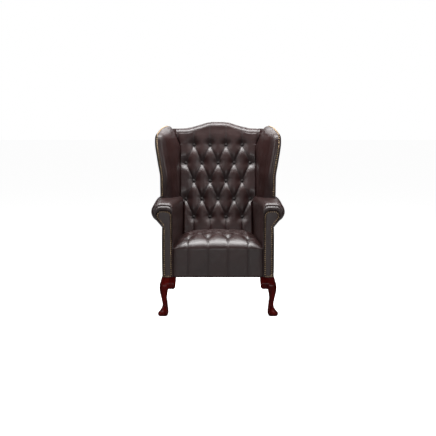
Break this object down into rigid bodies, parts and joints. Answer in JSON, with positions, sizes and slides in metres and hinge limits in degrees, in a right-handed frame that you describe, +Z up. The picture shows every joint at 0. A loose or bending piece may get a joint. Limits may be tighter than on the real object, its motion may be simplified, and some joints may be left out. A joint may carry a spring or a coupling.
{
  "type": "wing chair",
  "caption": "Deep-buttoned leather wing chair with rolled scroll arms, a serpentine crest and cabriole front legs.",
  "frame": {"origin": "on the floor, under the middle of the chair's bounding box", "axes": "+Z up, -Y to the front where the sitter's knees are, +X to the sitter's left"},
  "size_m": [0.7582, 0.814, 1.0892],
  "materials": {
    "leg_wood": "polished mahogany",
    "frame_wood": "plain beech, unfinished",
    "leather": "dark oxblood hide, glossy, aged",
    "foam": "upholstery foam and wadding",
    "hessian": "coarse woven jute",
    "webbing": "woven webbing",
    "dust_cloth": "black lining cloth",
    "spring_steel": "bare spring wire",
    "bolt_steel": "zinc plated steel",
    "nail_brass": "antiqued brass"
  },
  "bodies": {
    "root": {"arm_cover_left": "leather", "arm_cover_right": "leather", "arm_facing_left": "leather", "arm_facing_right": "leather", "arm_foam_left": "foam", "arm_foam_right": "foam", "arm_lining_left": "hessian", "arm_lining_right": "hessian", "arm_post_left": "frame_wood", "arm_post_right": "frame_wood", "arm_rail_left": "frame_wood", "arm_rail_right": "frame_wood", "arm_tack_rail_left": "frame_wood", "arm_tack_rail_right": "frame_wood", "back_buttons": "leather", "back_cover": "leather", "back_foam": "foam", "back_post_left": "frame_wood", "back_post_right": "frame_wood", "back_tack_rail": "frame_wood", "back_webbing": "webbing", "corner_blocks": "frame_wood", "crest_rail": "frame_wood", "crest_roll": "leather", "dust_cover": "dust_cloth", "front_leg_left": "leg_wood", "front_leg_right": "leg_wood", "front_rail": "frame_wood", "hessian": "hessian", "knee_blocks_left": "leg_wood", "knee_blocks_right": "leg_wood", "leg_bolts": "bolt_steel", "outside_arm_left": "leather", "outside_arm_right": "leather", "outside_back": "leather", "outside_wing_left": "leather", "outside_wing_right": "leather", "rear_leg_left": "leg_wood", "rear_leg_right": "leg_wood", "rear_rail": "frame_wood", "seat_buttons": "leather", "seat_cover": "leather", "seat_foam": "foam", "seat_springs": "spring_steel", "side_rail_left": "frame_wood", "side_rail_right": "frame_wood", "spring_clips": "spring_steel", "wing_cover_left": "leather", "wing_cover_right": "leather", "wing_foam_left": "foam", "wing_foam_right": "foam", "wing_post_left": "frame_wood", "wing_post_right": "frame_wood", "wing_rail_left": "frame_wood", "wing_rail_right": "frame_wood"}
  },
  "joints": []
}
